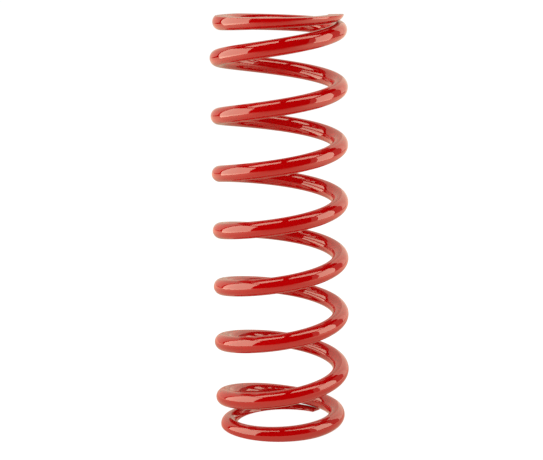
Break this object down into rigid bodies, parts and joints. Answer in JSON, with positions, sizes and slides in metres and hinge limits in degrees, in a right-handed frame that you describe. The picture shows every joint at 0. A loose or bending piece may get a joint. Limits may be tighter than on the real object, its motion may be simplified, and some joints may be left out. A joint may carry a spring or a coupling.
{
  "type": "coil spring",
  "caption": "Cylindrical compression spring of round wire with slightly narrower, closed and ground ends, in glossy red.",
  "frame": {"origin": "on the coil axis, at the lower ground face", "axes": "+Z along the coil axis from the lower end to the upper end; -Y is the front, +X the right, and the lower tip points 50 degrees from +X towards +Y"},
  "size_m": [0.083, 0.083, 0.254],
  "materials": {
    "red_coat": "glossy red powder coat"
  },
  "bodies": {
    "lower_end_coil": {"lower_end_coil": "red_coat"},
    "coil_1_left": {"coil_1_left": "red_coat"},
    "coil_1_front": {"coil_1_front": "red_coat"},
    "coil_1_right": {"coil_1_right": "red_coat"},
    "coil_1_back": {"coil_1_back": "red_coat"},
    "coil_2_left": {"coil_2_left": "red_coat"},
    "coil_2_front": {"coil_2_front": "red_coat"},
    "coil_2_right": {"coil_2_right": "red_coat"},
    "coil_2_back": {"coil_2_back": "red_coat"},
    "coil_3_left": {"coil_3_left": "red_coat"},
    "coil_3_front": {"coil_3_front": "red_coat"},
    "coil_3_right": {"coil_3_right": "red_coat"},
    "coil_3_back": {"coil_3_back": "red_coat"},
    "coil_4_left": {"coil_4_left": "red_coat"},
    "coil_4_front": {"coil_4_front": "red_coat"},
    "coil_4_right": {"coil_4_right": "red_coat"},
    "coil_4_back": {"coil_4_back": "red_coat"},
    "coil_5_left": {"coil_5_left": "red_coat"},
    "coil_5_front": {"coil_5_front": "red_coat"},
    "coil_5_right": {"coil_5_right": "red_coat"},
    "coil_5_back": {"coil_5_back": "red_coat"},
    "coil_6_left": {"coil_6_left": "red_coat"},
    "coil_6_front": {"coil_6_front": "red_coat"},
    "coil_6_right": {"coil_6_right": "red_coat"},
    "coil_6_back": {"coil_6_back": "red_coat"},
    "coil_7_left": {"coil_7_left": "red_coat"},
    "coil_7_front": {"coil_7_front": "red_coat"},
    "upper_end_coil": {"upper_end_coil": "red_coat"}
  },
  "joints": [
    {"name": "compression", "type": "slide", "parent": "lower_end_coil", "child": "upper_end_coil", "axis": [0, 0, -1], "range_m": [0, 0.127], "stiffness_N_per_m": 37000},
    {"name": "coil_1_left_travel", "type": "slide", "parent": "lower_end_coil", "child": "coil_1_left", "axis": [0, 0, -1], "range_m": [0, 0.0025]},
    {"name": "coil_1_front_travel", "type": "slide", "parent": "lower_end_coil", "child": "coil_1_front", "axis": [0, 0, -1], "range_m": [0, 0.0074]},
    {"name": "coil_1_right_travel", "type": "slide", "parent": "lower_end_coil", "child": "coil_1_right", "axis": [0, 0, -1], "range_m": [0, 0.0123]},
    {"name": "coil_1_back_travel", "type": "slide", "parent": "lower_end_coil", "child": "coil_1_back", "axis": [0, 0, -1], "range_m": [0, 0.0171]},
    {"name": "coil_2_left_travel", "type": "slide", "parent": "lower_end_coil", "child": "coil_2_left", "axis": [0, 0, -1], "range_m": [0, 0.022]},
    {"name": "coil_2_front_travel", "type": "slide", "parent": "lower_end_coil", "child": "coil_2_front", "axis": [0, 0, -1], "range_m": [0, 0.0269]},
    {"name": "coil_2_right_travel", "type": "slide", "parent": "lower_end_coil", "child": "coil_2_right", "axis": [0, 0, -1], "range_m": [0, 0.0318]},
    {"name": "coil_2_back_travel", "type": "slide", "parent": "lower_end_coil", "child": "coil_2_back", "axis": [0, 0, -1], "range_m": [0, 0.0367]},
    {"name": "coil_3_left_travel", "type": "slide", "parent": "lower_end_coil", "child": "coil_3_left", "axis": [0, 0, -1], "range_m": [0, 0.0416]},
    {"name": "coil_3_front_travel", "type": "slide", "parent": "lower_end_coil", "child": "coil_3_front", "axis": [0, 0, -1], "range_m": [0, 0.0465]},
    {"name": "coil_3_right_travel", "type": "slide", "parent": "lower_end_coil", "child": "coil_3_right", "axis": [0, 0, -1], "range_m": [0, 0.0513]},
    {"name": "coil_3_back_travel", "type": "slide", "parent": "lower_end_coil", "child": "coil_3_back", "axis": [0, 0, -1], "range_m": [0, 0.0562]},
    {"name": "coil_4_left_travel", "type": "slide", "parent": "lower_end_coil", "child": "coil_4_left", "axis": [0, 0, -1], "range_m": [0, 0.0611]},
    {"name": "coil_4_front_travel", "type": "slide", "parent": "lower_end_coil", "child": "coil_4_front", "axis": [0, 0, -1], "range_m": [0, 0.066]},
    {"name": "coil_4_right_travel", "type": "slide", "parent": "lower_end_coil", "child": "coil_4_right", "axis": [0, 0, -1], "range_m": [0, 0.0709]},
    {"name": "coil_4_back_travel", "type": "slide", "parent": "lower_end_coil", "child": "coil_4_back", "axis": [0, 0, -1], "range_m": [0, 0.0758]},
    {"name": "coil_5_left_travel", "type": "slide", "parent": "lower_end_coil", "child": "coil_5_left", "axis": [0, 0, -1], "range_m": [0, 0.0806]},
    {"name": "coil_5_front_travel", "type": "slide", "parent": "lower_end_coil", "child": "coil_5_front", "axis": [0, 0, -1], "range_m": [0, 0.0855]},
    {"name": "coil_5_right_travel", "type": "slide", "parent": "lower_end_coil", "child": "coil_5_right", "axis": [0, 0, -1], "range_m": [0, 0.0904]},
    {"name": "coil_5_back_travel", "type": "slide", "parent": "lower_end_coil", "child": "coil_5_back", "axis": [0, 0, -1], "range_m": [0, 0.0953]},
    {"name": "coil_6_left_travel", "type": "slide", "parent": "lower_end_coil", "child": "coil_6_left", "axis": [0, 0, -1], "range_m": [0, 0.1002]},
    {"name": "coil_6_front_travel", "type": "slide", "parent": "lower_end_coil", "child": "coil_6_front", "axis": [0, 0, -1], "range_m": [0, 0.1051]},
    {"name": "coil_6_right_travel", "type": "slide", "parent": "lower_end_coil", "child": "coil_6_right", "axis": [0, 0, -1], "range_m": [0, 0.11]},
    {"name": "coil_6_back_travel", "type": "slide", "parent": "lower_end_coil", "child": "coil_6_back", "axis": [0, 0, -1], "range_m": [0, 0.1148]},
    {"name": "coil_7_left_travel", "type": "slide", "parent": "lower_end_coil", "child": "coil_7_left", "axis": [0, 0, -1], "range_m": [0, 0.1197]},
    {"name": "coil_7_front_travel", "type": "slide", "parent": "lower_end_coil", "child": "coil_7_front", "axis": [0, 0, -1], "range_m": [0, 0.1246]}
  ],
  "couplings": [
    {"joint": "coil_1_left_travel", "follows": "compression", "ratio": 0.01923},
    {"joint": "coil_1_front_travel", "follows": "compression", "ratio": 0.05769},
    {"joint": "coil_1_right_travel", "follows": "compression", "ratio": 0.09615},
    {"joint": "coil_1_back_travel", "follows": "compression", "ratio": 0.13462},
    {"joint": "coil_2_left_travel", "follows": "compression", "ratio": 0.17308},
    {"joint": "coil_2_front_travel", "follows": "compression", "ratio": 0.21154},
    {"joint": "coil_2_right_travel", "follows": "compression", "ratio": 0.25},
    {"joint": "coil_2_back_travel", "follows": "compression", "ratio": 0.28846},
    {"joint": "coil_3_left_travel", "follows": "compression", "ratio": 0.32692},
    {"joint": "coil_3_front_travel", "follows": "compression", "ratio": 0.36538},
    {"joint": "coil_3_right_travel", "follows": "compression", "ratio": 0.40385},
    {"joint": "coil_3_back_travel", "follows": "compression", "ratio": 0.44231},
    {"joint": "coil_4_left_travel", "follows": "compression", "ratio": 0.48077},
    {"joint": "coil_4_front_travel", "follows": "compression", "ratio": 0.51923},
    {"joint": "coil_4_right_travel", "follows": "compression", "ratio": 0.55769},
    {"joint": "coil_4_back_travel", "follows": "compression", "ratio": 0.59615},
    {"joint": "coil_5_left_travel", "follows": "compression", "ratio": 0.63462},
    {"joint": "coil_5_front_travel", "follows": "compression", "ratio": 0.67308},
    {"joint": "coil_5_right_travel", "follows": "compression", "ratio": 0.71154},
    {"joint": "coil_5_back_travel", "follows": "compression", "ratio": 0.75},
    {"joint": "coil_6_left_travel", "follows": "compression", "ratio": 0.78846},
    {"joint": "coil_6_front_travel", "follows": "compression", "ratio": 0.82692},
    {"joint": "coil_6_right_travel", "follows": "compression", "ratio": 0.86538},
    {"joint": "coil_6_back_travel", "follows": "compression", "ratio": 0.90385},
    {"joint": "coil_7_left_travel", "follows": "compression", "ratio": 0.94231},
    {"joint": "coil_7_front_travel", "follows": "compression", "ratio": 0.98077}
  ]
}
